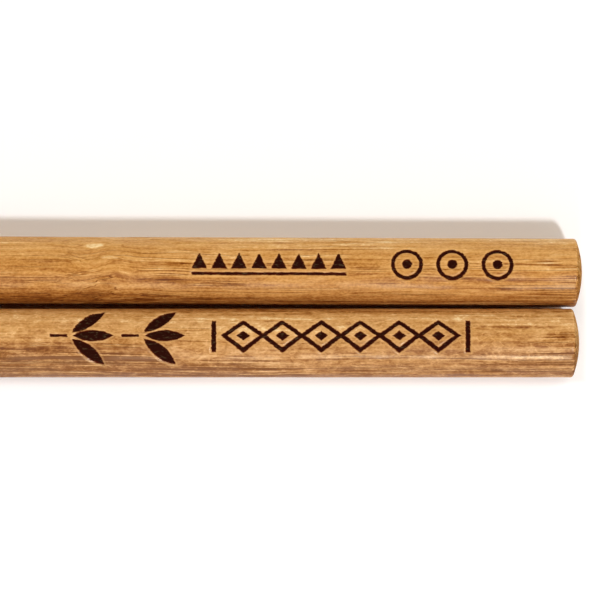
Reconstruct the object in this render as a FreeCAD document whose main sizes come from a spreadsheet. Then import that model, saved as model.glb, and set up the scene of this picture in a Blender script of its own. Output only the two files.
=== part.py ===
import FreeCAD, Part
import math
import os

import Sketcher
from FreeCAD import Placement, Rotation, Vector

# A pair of round, tapering bamboo chopsticks that lie side by side on a table.
# +X points at the handle ends, +Y at the back stick, +Z up.
# The origin is the middle of the pair's box, on the table under it.
# Each stick is drawn along its own axis, with its handle end at x = 0 and its tip at -X,
# and is then placed beside the other one.
# The handles carry shallow burned ornament in common traditional patterns.

# Driving sizes: alias, value and what it measures. Lengths are millimetres.
SIZES = [
    ("stick_length", "230", "whole length of a stick, from crown to tip"),
    ("handle_diameter", "7.5", "diameter of the parallel handle part"),
    ("parallel_length", "110", "length of the parallel part, from the crown's top"),
    ("tip_diameter", "3", "diameter where the taper meets the tip's round end"),
    ("handle_crown", "1", "rise of the domed handle end, with its rim"),
    ("tip_crown", "1", "rise of the domed tip"),
    ("rim_round", "0.4", "radius that eases the rim of the handle end"),
    ("stick_gap", "0.36", "gap between the two sticks at their handle ends"),
    ("stick_lean", "0.12", "angle in degrees by which each stick leans towards the other"),
    ("end_slip", "0.45", "how far the front stick lies short of the back one"),
    ("burn_depth", "0.12", "depth of the burned ornament"),
    ("chain_start", "15.4", "first lozenge's centre, from the handle end"),
    ("chain_pitch", "4.2", "step from one lozenge to the next"),
    ("chain_count", "6", "number of lozenges"),
    ("lozenge_length", "4.9", "lozenge's length along the stick"),
    ("lozenge_width", "3.8", "lozenge's width across the stick"),
    ("lozenge_stroke", "0.5", "lozenge outline's width, measured across the line"),
    ("lozenge_core", "1.5", "length of the solid lozenge in the middle"),
    ("bar_gap", "0.45", "gap between the lozenges and the bar at each end of them"),
    ("bar_width", "0.55", "bar's width along the stick"),
    ("bar_length", "3.6", "bar's length across the stick"),
    ("sprig_start", "47.6", "first sprig's node, from the handle end"),
    ("sprig_pitch", "7.7", "step from one sprig to the next"),
    ("sprig_count", "2", "number of sprigs"),
    ("leaf_count", "3", "leaves in a sprig"),
    ("leaf_length", "4.4", "leaf's length from point to point"),
    ("leaf_width", "1.3", "leaf's greatest width"),
    ("leaf_offset", "0.55", "gap from the sprig's node to a leaf's near point"),
    ("leaf_spread", "74", "angle in degrees between the outer leaves"),
    ("stem_length", "1.9", "length of the sprig's stem"),
    ("stem_width", "0.35", "width of the sprig's stem"),
    ("ring_start", "9.4", "first ring's centre, from the handle end"),
    ("ring_pitch", "4.9", "step from one ring to the next"),
    ("ring_count", "3", "number of rings"),
    ("ring_diameter", "3.5", "outer diameter of a ring"),
    ("ring_stroke", "0.45", "width of a ring's line"),
    ("ring_dot", "1.1", "diameter of the dot in a ring's middle"),
    ("scale_start", "26.6", "first triangle's centre, from the handle end"),
    ("scale_pitch", "2.15", "step from one triangle to the next"),
    ("scale_count", "8", "number of triangles"),
    ("scale_base", "1.75", "triangle's base along the stick"),
    ("scale_height", "1.9", "triangle's height across the stick"),
    ("rule_width", "0.35", "width of the rule beside the triangles"),
    ("rule_gap", "0.35", "gap between the triangles and the rule"),
]

FULL_TURN = 360
QUARTER_TURN = 90


def fill_sheet(doc):
    """Puts the driving sizes into the spreadsheet, with their aliases."""
    sheet = doc.addObject("Spreadsheet::Sheet", "Sizes")
    for row, (alias, value, meaning) in enumerate(SIZES, start=1):
        sheet.set(f"A{row}", meaning)
        sheet.set(f"B{row}", value)
        sheet.setAlias(f"B{row}", alias)
    doc.recompute()
    return sheet


def origin_feature(body, role):
    """The body's own origin plane or axis with this role."""
    return next(item for item in body.Origin.OriginFeatures if item.Role == role)


def new_sketch(body, name, plane):
    """A sketch on one of the body's own origin planes."""
    sketch = body.newObject("Sketcher::SketchObject", name)
    sketch.AttachmentSupport = [(origin_feature(body, plane), "")]
    sketch.MapMode = "FlatFace"
    return sketch


def tie(sketch, name, expression, *constraint):
    """Adds a named dimension to a sketch and binds it to the sheet."""
    index = sketch.addConstraint(Sketcher.Constraint(*constraint))
    sketch.renameConstraint(index, name)
    sketch.setExpression(f"Constraints.{name}", expression)


def join_ends(sketch, lines):
    """Joins each line's end to the next one's start, and the last to the first."""
    for first, second in zip(lines, lines[1:] + lines[:1]):
        sketch.addConstraint(Sketcher.Constraint("Coincident", first, 2, second, 1))


def closed_outline(sketch, points):
    """Straight lines through the points and back to the first, joined end to end."""
    corners = [Vector(x, y, 0) for x, y in points]
    pairs = zip(corners, corners[1:] + corners[:1])
    lines = [sketch.addGeometry(Part.LineSegment(start, end), False) for start, end in pairs]
    join_ends(sketch, lines)
    return lines


def build_blank(doc, sheet, name):
    """Turned stick with no ornament: domed handle end, parallel handle, taper and domed tip."""
    body = doc.addObject("PartDesign::Body", name)
    sketch = new_sketch(body, name + "Profile", "XZ_Plane")
    length = float(sheet.stick_length)
    parallel = float(sheet.parallel_length)
    handle = float(sheet.handle_diameter) / 2
    tip = float(sheet.tip_diameter) / 2
    crown = float(sheet.handle_crown)
    tip_crown = float(sheet.tip_crown)
    rim = float(sheet.rim_round)
    upright = Vector(0, 0, 1)
    # The crown's sphere passes through the end's middle and touches the rim's round.
    rim_middle = handle - rim
    crown_sphere = (crown ** 2 + rim_middle ** 2 - rim ** 2) / (2 * (crown - rim))
    tip_sphere = (tip_crown ** 2 + tip ** 2) / (2 * tip_crown)
    crown_turn = math.atan2(rim_middle, crown_sphere - crown)
    tip_turn = math.atan2(tip, tip_sphere - tip_crown)
    shoulder = Vector(-parallel, -handle, 0)
    tip_rim = Vector(tip_crown - length, -tip, 0)
    side_end = Vector(-crown, -handle, 0)
    tip_circle = Part.Circle(Vector(tip_sphere - length, 0, 0), upright, tip_sphere)
    rim_circle = Part.Circle(Vector(-crown, -rim_middle, 0), upright, rim)
    crown_circle = Part.Circle(Vector(-crown_sphere, 0, 0), upright, crown_sphere)
    tip_cap, taper, side, rim_bend, crown_cap, axis = [
        sketch.addGeometry(curve, False) for curve in (
            Part.ArcOfCircle(tip_circle, math.pi, math.pi + tip_turn),
            Part.LineSegment(tip_rim, shoulder),
            Part.LineSegment(shoulder, side_end),
            Part.ArcOfCircle(rim_circle, -math.pi / 2, -crown_turn),
            Part.ArcOfCircle(crown_circle, -crown_turn, 0),
            Part.LineSegment(Vector(0, 0, 0), Vector(-length, 0, 0)))]
    for first, second in ((tip_cap, taper), (taper, side), (crown_cap, axis), (axis, tip_cap)):
        sketch.addConstraint(Sketcher.Constraint("Coincident", first, 2, second, 1))
    for first, second in ((side, rim_bend), (rim_bend, crown_cap)):
        sketch.addConstraint(Sketcher.Constraint("Tangent", first, 2, second, 1))
    sketch.addConstraint(Sketcher.Constraint("Coincident", axis, 1, -1, 1))
    for cap in (crown_cap, tip_cap):
        sketch.addConstraint(Sketcher.Constraint("PointOnObject", cap, 3, -1))
    for line in (side, axis):
        sketch.addConstraint(Sketcher.Constraint("Horizontal", line))
    tie(sketch, "handle_radius", "Sizes.handle_diameter / 2",
        "DistanceY", side, 2, -1, 1, handle)
    tie(sketch, "tip_radius", "Sizes.tip_diameter / 2", "DistanceY", taper, 1, -1, 1, tip)
    tie(sketch, "length", "Sizes.stick_length", "DistanceX", axis, 2, -1, 1, length)
    tie(sketch, "parallel", "Sizes.parallel_length", "DistanceX", side, 1, -1, 1, parallel)
    tie(sketch, "crown", "Sizes.handle_crown", "DistanceX", side, 2, -1, 1, crown)
    tie(sketch, "tip_rise", "Sizes.tip_crown", "DistanceX", tip_cap, 1, taper, 1, tip_crown)
    tie(sketch, "rim_round", "Sizes.rim_round", "Radius", rim_bend, rim)
    turned = body.newObject("PartDesign::Revolution", name + "Turned")
    turned.Profile = sketch
    turned.ReferenceAxis = (sketch, ["H_Axis"])
    turned.Angle = FULL_TURN
    body.Tip = turned
    return body


def build_skin(doc, name):
    """Thin tube round the handle's surface, as deep as the ornament is burned."""
    tubes = []
    for side, radius in (
            ("Outside", "Sizes.handle_diameter / 2 + Sizes.burn_depth"),
            ("Inside", "Sizes.handle_diameter / 2 - Sizes.burn_depth")):
        tube = doc.addObject("Part::Cylinder", name + side)
        tube.setExpression("Radius", radius)
        tube.setExpression("Height", "Sizes.parallel_length")
        tube.Placement.Rotation = Rotation(Vector(0, 1, 0), QUARTER_TURN)
        tube.setExpression(".Placement.Base.x", "-Sizes.parallel_length")
        tubes.append(tube)
    skin = doc.addObject("Part::Cut", name)
    skin.Base, skin.Tool = tubes
    return skin


def raise_mark(body, sketch):
    """Stands a drawn mark up from the stick's axis to well above its surface."""
    pad = body.newObject("PartDesign::Pad", sketch.Name + "Raised")
    pad.Profile = sketch
    pad.setExpression("Length", "Sizes.handle_diameter")
    return pad


def repeat_marks(body, marks, pitch, count):
    """Repeats the marks along the stick, towards its tip."""
    row = body.newObject("PartDesign::LinearPattern", body.Name + "Row")
    row.Originals = marks
    row.Direction = (origin_feature(body, "X_Axis"), [""])
    row.Reversed = True
    row.Mode = "Spacing"
    row.setExpression("Offset", pitch)
    row.setExpression("Occurrences", count)
    body.Tip = row


def set_along(body, start):
    """Moves a mark's body from the handle end to its place along the stick."""
    body.setExpression(".Placement.Base.x", "-(" + start + ")")


def draw_lozenge(sketch, name, length, width, half_length, half_width):
    """Lozenge about the origin, with its length along the stick."""
    corners = [(half_length, 0), (0, half_width), (-half_length, 0), (0, -half_width)]
    lines = closed_outline(sketch, corners)
    for line, guide in zip(lines, (-1, -2, -1, -2)):
        sketch.addConstraint(Sketcher.Constraint("PointOnObject", line, 1, guide))
    sketch.addConstraint(Sketcher.Constraint("Equal", lines[0], lines[1]))
    sketch.addConstraint(Sketcher.Constraint("Equal", lines[0], lines[3]))
    tie(sketch, name + "_length", length,
        "DistanceX", lines[2], 1, lines[0], 1, 2 * half_length)
    tie(sketch, name + "_width", width,
        "DistanceY", lines[3], 1, lines[1], 1, 2 * half_width)


def draw_rectangle(sketch, length, width):
    """Rectangle about the origin, with its length along the stick."""
    lines = closed_outline(sketch, [(1, 1), (-1, 1), (-1, -1), (1, -1)])
    for line in (lines[0], lines[2]):
        sketch.addConstraint(Sketcher.Constraint("Horizontal", line))
    for line in (lines[1], lines[3]):
        sketch.addConstraint(Sketcher.Constraint("Vertical", line))
    sketch.addConstraint(Sketcher.Constraint("Symmetric", lines[0], 1, lines[2], 1, -1, 1))
    tie(sketch, "length", length, "DistanceX", lines[0], 2, lines[0], 1, 2)
    tie(sketch, "width", width, "DistanceY", lines[1], 2, lines[1], 1, 2)


def build_bars(doc, name, length, width, start, pitch=None, count=None):
    """Straight bars at even steps along the stick, or one bar where no step is given."""
    body = doc.addObject("PartDesign::Body", name)
    sketch = new_sketch(body, name + "Outline", "XY_Plane")
    draw_rectangle(sketch, length, width)
    bar = raise_mark(body, sketch)
    if pitch:
        repeat_marks(body, [bar], pitch, count)
    set_along(body, start)
    return body


def build_lozenge_chain(doc, sheet):
    """Chain of outlined lozenges that cross at their points, each with a solid core."""
    body = doc.addObject("PartDesign::Body", "LozengeChain")
    half_length = float(sheet.lozenge_length) / 2
    half_width = float(sheet.lozenge_width) / 2
    slant = math.hypot(half_length, half_width)
    inner_share = 1 - float(sheet.lozenge_stroke) * slant / (half_length * half_width)
    core_share = float(sheet.lozenge_core) / float(sheet.lozenge_length)
    # The inner outline runs along the outer one, a stroke's width inside it.
    inner = ("(1 - 2 * Sizes.lozenge_stroke * sqrt(Sizes.lozenge_length ^ 2"
             " + Sizes.lozenge_width ^ 2) / (Sizes.lozenge_length * Sizes.lozenge_width))")
    outline = new_sketch(body, "LozengeOutline", "XY_Plane")
    draw_lozenge(outline, "outer", "Sizes.lozenge_length", "Sizes.lozenge_width",
                 half_length, half_width)
    draw_lozenge(outline, "inner", "Sizes.lozenge_length * " + inner,
                 "Sizes.lozenge_width * " + inner,
                 half_length * inner_share, half_width * inner_share)
    core = new_sketch(body, "LozengeCore", "XY_Plane")
    draw_lozenge(core, "core", "Sizes.lozenge_core",
                 "Sizes.lozenge_core * Sizes.lozenge_width / Sizes.lozenge_length",
                 half_length * core_share, half_width * core_share)
    marks = [raise_mark(body, outline), raise_mark(body, core)]
    repeat_marks(body, marks, "Sizes.chain_pitch", "Sizes.chain_count")
    set_along(body, "Sizes.chain_start")
    return body


def build_chain_bars(doc):
    """A bar across the stick at each end of the lozenge chain."""
    margin = "Sizes.lozenge_length + 2 * Sizes.bar_gap + Sizes.bar_width"
    return build_bars(
        doc, "ChainBars", "Sizes.bar_width", "Sizes.bar_length",
        "Sizes.chain_start - (" + margin + ") / 2",
        "(Sizes.chain_count - 1) * Sizes.chain_pitch + " + margin, "2")


def build_leaves(doc, sheet):
    """Pointed leaves that fan out from each sprig's node towards the handle end."""
    body = doc.addObject("PartDesign::Body", "Leaves")
    leaf = new_sketch(body, "Leaf", "XY_Plane")
    half_spread = math.radians(float(sheet.leaf_spread) / 2)
    length = float(sheet.leaf_length)
    width = float(sheet.leaf_width)
    offset = float(sheet.leaf_offset)
    along = Vector(math.cos(half_spread), math.sin(half_spread), 0)
    bulge = Vector(-along.y, along.x, 0) * (width / 2)
    node, near, far = (along * reach for reach in (0, offset, offset + length))
    middle = (near + far) / 2
    stalk = leaf.addGeometry(Part.LineSegment(node, near), True)
    rib = leaf.addGeometry(Part.LineSegment(near, far), True)
    upper = leaf.addGeometry(Part.Arc(far, middle + bulge, near), False)
    lower = leaf.addGeometry(Part.Arc(near, middle - bulge, far), False)
    leaf.addConstraint(Sketcher.Constraint("Coincident", stalk, 1, -1, 1))
    leaf.addConstraint(Sketcher.Constraint("Coincident", stalk, 2, rib, 1))
    leaf.addConstraint(Sketcher.Constraint("Parallel", stalk, rib))
    for edge, near_end, far_end in ((upper, 2, 1), (lower, 1, 2)):
        leaf.addConstraint(Sketcher.Constraint("Coincident", edge, near_end, rib, 1))
        leaf.addConstraint(Sketcher.Constraint("Coincident", edge, far_end, rib, 2))
    leaf.addConstraint(Sketcher.Constraint("Equal", upper, lower))
    tie(leaf, "offset", "Sizes.leaf_offset", "Distance", stalk, offset)
    tie(leaf, "length", "Sizes.leaf_length", "Distance", rib, length)
    tie(leaf, "lean", "Sizes.leaf_spread / 2", "Angle", -1, 1, stalk, 1, half_spread)
    tie(leaf, "edge_radius",
        "(Sizes.leaf_length ^ 2 + Sizes.leaf_width ^ 2) / (4 * Sizes.leaf_width)",
        "Radius", upper, (length ** 2 + width ** 2) / (4 * width))
    raised = raise_mark(body, leaf)
    fan = body.newObject("PartDesign::PolarPattern", "LeafFan")
    fan.Axis = (origin_feature(body, "Z_Axis"), [""])
    fan.Reversed = True
    fan.setExpression("Angle", "Sizes.leaf_spread")
    fan.setExpression("Occurrences", "Sizes.leaf_count")
    row = body.newObject("PartDesign::LinearPattern", "SprigRow")
    row.Direction = (origin_feature(body, "X_Axis"), [""])
    row.Reversed = True
    row.Mode = "Spacing"
    row.setExpression("Offset", "Sizes.sprig_pitch")
    row.setExpression("Occurrences", "Sizes.sprig_count")
    sprigs = body.newObject("PartDesign::MultiTransform", "Sprigs")
    sprigs.Originals = [raised]
    sprigs.Transformations = [fan, row]
    body.Tip = sprigs
    set_along(body, "Sizes.sprig_start")
    return body


def build_stems(doc):
    """The short straight stem behind each fan of leaves."""
    return build_bars(
        doc, "Stems", "Sizes.stem_length", "Sizes.stem_width",
        "Sizes.sprig_start + Sizes.stem_length / 2", "Sizes.sprig_pitch", "Sizes.sprig_count")


def build_ring_row(doc, sheet):
    """Row of separate rings, each with a dot in its middle."""
    body = doc.addObject("PartDesign::Body", "RingRow")
    ring = new_sketch(body, "Ring", "XY_Plane")
    dot = new_sketch(body, "RingDot", "XY_Plane")
    outer = float(sheet.ring_diameter)
    circles = (
        (ring, "outer", "Sizes.ring_diameter", outer),
        (ring, "inner", "Sizes.ring_diameter - 2 * Sizes.ring_stroke",
         outer - 2 * float(sheet.ring_stroke)),
        (dot, "dot", "Sizes.ring_dot", float(sheet.ring_dot)))
    for sketch, name, expression, diameter in circles:
        circle = sketch.addGeometry(
            Part.Circle(Vector(0, 0, 0), Vector(0, 0, 1), diameter / 2), False)
        sketch.addConstraint(Sketcher.Constraint("Coincident", circle, 3, -1, 1))
        tie(sketch, name + "_diameter", expression, "Diameter", circle, diameter)
    marks = [raise_mark(body, ring), raise_mark(body, dot)]
    repeat_marks(body, marks, "Sizes.ring_pitch", "Sizes.ring_count")
    set_along(body, "Sizes.ring_start")
    return body


def build_triangles(doc, sheet):
    """Row of solid triangles that stand on a rule, with the pair centred across the stick."""
    body = doc.addObject("PartDesign::Body", "Triangles")
    sketch = new_sketch(body, "Triangle", "XY_Plane")
    half_base = float(sheet.scale_base) / 2
    height = float(sheet.scale_height)
    base, right, left = closed_outline(sketch, [(-half_base, 0), (half_base, 0), (0, height)])
    sketch.addConstraint(Sketcher.Constraint("PointOnObject", base, 1, -1))
    sketch.addConstraint(Sketcher.Constraint("Horizontal", base))
    sketch.addConstraint(Sketcher.Constraint("PointOnObject", left, 1, -2))
    sketch.addConstraint(Sketcher.Constraint("Equal", left, right))
    tie(sketch, "base", "Sizes.scale_base", "DistanceX", base, 1, base, 2, 2 * half_base)
    tie(sketch, "height", "Sizes.scale_height", "DistanceY", base, 1, left, 1, height)
    repeat_marks(body, [raise_mark(body, sketch)], "Sizes.scale_pitch", "Sizes.scale_count")
    set_along(body, "Sizes.scale_start")
    body.setExpression(
        ".Placement.Base.y", "(Sizes.rule_gap + Sizes.rule_width - Sizes.scale_height) / 2")
    return body


def build_rule(doc):
    """The long thin rule under the row of triangles."""
    reach = "(Sizes.scale_count - 1) * Sizes.scale_pitch"
    body = build_bars(
        doc, "Rule", reach + " + Sizes.scale_base", "Sizes.rule_width",
        "Sizes.scale_start + " + reach + " / 2")
    body.setExpression(".Placement.Base.y", "-(Sizes.rule_gap + Sizes.scale_height) / 2")
    return body


def burn_stick(doc, label, blank, skin, ornament):
    """Burns the ornament into a turned blank, to the skin's depth."""
    marks = doc.addObject("Part::MultiFuse", blank.Name + "Ornament")
    marks.Shapes = ornament
    burned = doc.addObject("Part::Common", blank.Name + "Burn")
    burned.Base = marks
    burned.Tool = skin
    stick = doc.addObject("Part::Cut", blank.Name + "Burned")
    stick.Base = blank
    stick.Tool = burned
    stick.Label = label
    return stick


def lay_stick(stick, side):
    """Lays a stick on the table, behind the pair's middle line for +1 or before it for -1.

    The sticks come nearest to each other at their handle ends, and open towards the tips.
    """
    # Any turn sets the upright axis, and the sheet then gives the angle.
    stick.Placement = Placement(Vector(0, 0, 0), Rotation(Vector(0, 0, -side), QUARTER_TURN))
    stick.setExpression(".Placement.Rotation.Angle", "Sizes.stick_lean")
    stick.setExpression(
        ".Placement.Base.x", f"Sizes.stick_length / 2 + {side} * Sizes.end_slip / 2")
    stick.setExpression(
        ".Placement.Base.y", f"{side} * (Sizes.handle_diameter + Sizes.stick_gap) / 2")
    stick.setExpression(".Placement.Base.z", "Sizes.handle_diameter / 2")


def check_document(doc, sticks):
    """Stops with a message if any object failed or a stick has no sound shape."""
    failed = [item.Name for item in doc.Objects if {"Invalid", "Error"} & set(item.State)]
    if failed:
        raise RuntimeError("failed objects: " + ", ".join(failed))
    for stick in sticks:
        if stick.Shape.isNull() or not stick.Shape.isValid() or len(stick.Shape.Solids) != 1:
            raise RuntimeError(stick.Label + " is not one sound solid")
        if stick.Shape.Volume >= stick.Base.Shape.Volume:
            raise RuntimeError(stick.Label + " has no ornament burned into it")


def build_pair():
    """Builds both sticks and writes each one to its own file."""
    doc = FreeCAD.newDocument("Chopsticks")
    sheet = fill_sheet(doc)
    blanks = [build_blank(doc, sheet, name) for name in ("BackBlank", "FrontBlank")]
    back_ornament = [build_ring_row(doc, sheet), build_triangles(doc, sheet), build_rule(doc)]
    front_ornament = [build_lozenge_chain(doc, sheet), build_chain_bars(doc),
                      build_leaves(doc, sheet), build_stems(doc)]
    skin = build_skin(doc, "Skin")
    back = burn_stick(doc, "back_chopstick", blanks[0], skin, back_ornament)
    front = burn_stick(doc, "front_chopstick", blanks[1], skin, front_ornament)
    lay_stick(back, 1)
    lay_stick(front, -1)
    doc.recompute()
    check_document(doc, [back, front])
    os.makedirs("parts", exist_ok=True)
    for stick in (back, front):
        stick.Shape.exportStep(f"parts/{stick.Label}.step")
        box = stick.Shape.optimalBoundingBox(False)
        print(f"{stick.Label}: volume {stick.Shape.Volume:.2f} mm3,"
              f" x {box.XMin:.3f} to {box.XMax:.3f}, y {box.YMin:.3f} to {box.YMax:.3f},"
              f" z {box.ZMin:.3f} to {box.ZMax:.3f}")


build_pair()
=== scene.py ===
import logging
import math
from dataclasses import dataclass
from enum import Enum
from functools import partial, reduce
from typing import NamedTuple

import bpy
import numpy as np
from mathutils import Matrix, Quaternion, Vector


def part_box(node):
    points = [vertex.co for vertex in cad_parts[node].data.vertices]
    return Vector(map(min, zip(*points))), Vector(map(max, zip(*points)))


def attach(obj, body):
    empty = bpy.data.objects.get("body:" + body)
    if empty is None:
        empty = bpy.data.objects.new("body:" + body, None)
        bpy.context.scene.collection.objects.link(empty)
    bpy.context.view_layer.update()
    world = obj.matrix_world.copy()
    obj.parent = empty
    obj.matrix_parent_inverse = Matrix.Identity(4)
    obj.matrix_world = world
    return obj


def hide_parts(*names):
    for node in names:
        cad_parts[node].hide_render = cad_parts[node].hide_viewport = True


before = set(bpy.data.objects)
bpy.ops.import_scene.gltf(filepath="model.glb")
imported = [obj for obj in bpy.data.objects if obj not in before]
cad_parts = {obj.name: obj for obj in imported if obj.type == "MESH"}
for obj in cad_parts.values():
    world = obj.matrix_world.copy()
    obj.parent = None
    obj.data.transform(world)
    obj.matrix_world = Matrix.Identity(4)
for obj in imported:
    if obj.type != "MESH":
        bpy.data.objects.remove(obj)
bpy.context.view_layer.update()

# Looks of a pair of round bamboo chopsticks that lie side by side on a white table.
# +X points at the handle ends, +Y at the back stick, +Z up, and lengths are metres.
# Each stick has its own co-ordinates too: the distance from its handle end, the distance
# across it from its axis, and the turn about its axis, which is zero along its top.

LOG = logging.getLogger("chopsticks")
MM = 0.001
FULL_TURN = 2 * math.pi
HANDLE_RADIUS_MM = 3.75
GRAIN = "grain"
BURN_EDGE = "burn_edge"
END_GRAIN = "end_grain"
NODE_PALE = "node_pale"
BAKE_MAP = "OFBake"
Pair = tuple[float, float]
Triple = tuple[float, float, float]
Colour = tuple[float, float, float, float]
Array = np.ndarray
Socket = bpy.types.NodeSocket
Owner = bpy.types.Material | bpy.types.World
WHITE: Colour = (1.0, 1.0, 1.0, 1.0)


def srgb(*shares: float) -> Colour:
    """Turns a colour as a screen shows it into the linear colour that a shader takes.

    Args:
        shares: Red, green and blue, each from 0 to 255.

    Returns:
        Linear red, green and blue, and full opacity.
    """
    shown = np.array(shares) / 255
    linear = np.where(shown <= 0.04045, shown / 12.92, ((shown + 0.055) / 1.055) ** 2.4)
    return (*linear.tolist(), 1.0)


def smooth_step(value: Array, low: float, high: float) -> Array:
    """Rises from 0 at low to 1 at high as 3t^2 - 2t^3, and stays flat beyond them.

    Args:
        value: Values to judge.
        low: Value at which the result is 0.
        high: Value at which the result is 1.

    Returns:
        Array of the same shape, from 0 to 1.
    """
    share = np.clip((value - low) / (high - low), 0, 1)
    return share * share * (3 - 2 * share)


class Place(Enum):
    """Which of the two sticks is meant."""

    BACK = "back"
    FRONT = "front"


class Spots(NamedTuple):
    """Grids of places on a stick, with distances from its handle end and from its axis."""

    along: Array
    across: Array
    up: Array


@dataclass(frozen=True)
class LozengeChain:
    """Outlined lozenges that cross at their points, with solid cores and a bar at each end."""

    start: float = 15.4 * MM
    pitch: float = 4.2 * MM
    count: int = 6
    length: float = 4.9 * MM
    width: float = 3.8 * MM
    stroke: float = 0.5 * MM
    core: float = 1.5 * MM
    bar_gap: float = 0.45 * MM
    bar_width: float = 0.55 * MM
    bar_length: float = 3.6 * MM

    def distance(self, at: Spots) -> Array:
        """Signed distance to the burned edge, negative inside it.

        A lozenge's side is the line where along over half its length plus across over half its
        width is 1, so the distance to it is that sum less 1, times the middle's distance to it.

        Args:
            at: Places on the stick.

        Returns:
            Distance in metres at each point.
        """
        nearest = np.full(at.along.shape, np.inf)
        half_length, half_width = self.length / 2, self.width / 2
        reach = half_length * half_width / math.hypot(half_length, half_width)
        for index in range(self.count):
            offset = np.abs(at.along - self.start - index * self.pitch)
            side = (offset / half_length + np.abs(at.across) / half_width - 1) * reach
            outline = np.maximum(side, -side - self.stroke)
            core = side + reach * (1 - self.core / self.length)
            nearest = np.minimum(nearest, np.minimum(outline, core))
        middle = self.start + (self.count - 1) * self.pitch / 2
        half_run = (self.count - 1) * self.pitch / 2 + half_length
        bar_middle = half_run + self.bar_gap + self.bar_width / 2
        bar = np.maximum(
            np.abs(np.abs(at.along - middle) - bar_middle) - self.bar_width / 2,
            np.abs(at.across) - self.bar_length / 2)
        return np.minimum(nearest, bar)


@dataclass(frozen=True)
class LeafSprigs:
    """Sprigs of pointed leaves that fan out towards the handle end, each on a short stem."""

    start: float = 47.6 * MM
    pitch: float = 7.7 * MM
    count: int = 2
    leaves: int = 3
    leaf_length: float = 4.4 * MM
    leaf_width: float = 1.3 * MM
    leaf_offset: float = 0.55 * MM
    spread: float = 74.0
    stem_length: float = 1.9 * MM
    stem_width: float = 0.35 * MM

    def distance(self, at: Spots) -> Array:
        """Signed distance to the burned edge, negative inside it.

        A leaf is what two equal circles share: each circle's middle lies beside the leaf's
        middle, and its radius carries it through both of the leaf's points.

        Args:
            at: Places on the stick.

        Returns:
            Distance in metres at each point.
        """
        nearest = np.full(at.along.shape, np.inf)
        radius = (self.leaf_length ** 2 + self.leaf_width ** 2) / (4 * self.leaf_width)
        sideways = radius - self.leaf_width / 2
        for sprig in range(self.count):
            ahead = self.start + sprig * self.pitch - at.along
            for lean in np.linspace(-self.spread / 2, self.spread / 2, self.leaves):
                turn = math.radians(lean)
                out = ahead * math.cos(turn) + at.across * math.sin(turn)
                beside = at.across * math.cos(turn) - ahead * math.sin(turn)
                out = out - self.leaf_offset - self.leaf_length / 2
                leaf = np.hypot(out, np.abs(beside) + sideways) - radius
                nearest = np.minimum(nearest, leaf)
            stem = np.maximum(
                np.abs(ahead + self.stem_length / 2) - self.stem_length / 2,
                np.abs(at.across) - self.stem_width / 2)
            nearest = np.minimum(nearest, stem)
        return nearest


@dataclass(frozen=True)
class RingRow:
    """Separate rings in a row, each round a dot."""

    start: float = 9.4 * MM
    pitch: float = 4.9 * MM
    count: int = 3
    diameter: float = 3.5 * MM
    stroke: float = 0.45 * MM
    dot: float = 1.1 * MM

    def distance(self, at: Spots) -> Array:
        """Signed distance to the burned edge, negative inside it.

        A ring's line is all that lies within half a stroke of the circle along its middle.

        Args:
            at: Places on the stick.

        Returns:
            Distance in metres at each point.
        """
        nearest = np.full(at.along.shape, np.inf)
        line_radius = (self.diameter - self.stroke) / 2
        for index in range(self.count):
            out = np.hypot(at.along - self.start - index * self.pitch, at.across)
            ring = np.abs(out - line_radius) - self.stroke / 2
            nearest = np.minimum(nearest, np.minimum(ring, out - self.dot / 2))
        return nearest


@dataclass(frozen=True)
class TriangleRow:
    """Solid triangles in a row, on a thin rule."""

    start: float = 26.6 * MM
    pitch: float = 2.15 * MM
    count: int = 8
    base: float = 1.75 * MM
    height: float = 1.9 * MM
    rule_width: float = 0.35 * MM
    rule_gap: float = 0.35 * MM

    def distance(self, at: Spots) -> Array:
        """Signed distance to the burned edge, negative inside it.

        A triangle is what lies above its base and inside its two slanting sides.

        Args:
            at: Places on the stick.

        Returns:
            Distance in metres at each point.
        """
        foot = (self.rule_gap + self.rule_width - self.height) / 2
        up = at.across - foot
        half_base = self.base / 2
        slant = math.hypot(half_base, self.height)
        last = self.count - 1
        index = np.clip(np.round((at.along - self.start) / self.pitch), 0, last)
        beside = np.abs(at.along - self.start - index * self.pitch)
        side = ((beside - half_base) * self.height + up * half_base) / slant
        triangle = np.maximum(side, -up)
        middle = self.start + last * self.pitch / 2
        rule = np.maximum(
            np.abs(at.along - middle) - (last * self.pitch + self.base) / 2,
            np.abs(up + self.rule_gap + self.rule_width / 2) - self.rule_width / 2)
        return np.minimum(triangle, rule)


Motif = LozengeChain | LeafSprigs | RingRow | TriangleRow


class Rise(NamedTuple):
    """A smooth change of a value: where it starts and stops, and what it is there."""

    start: float
    stop: float
    at_start: float = 0.0
    at_stop: float = 1.0


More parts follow.
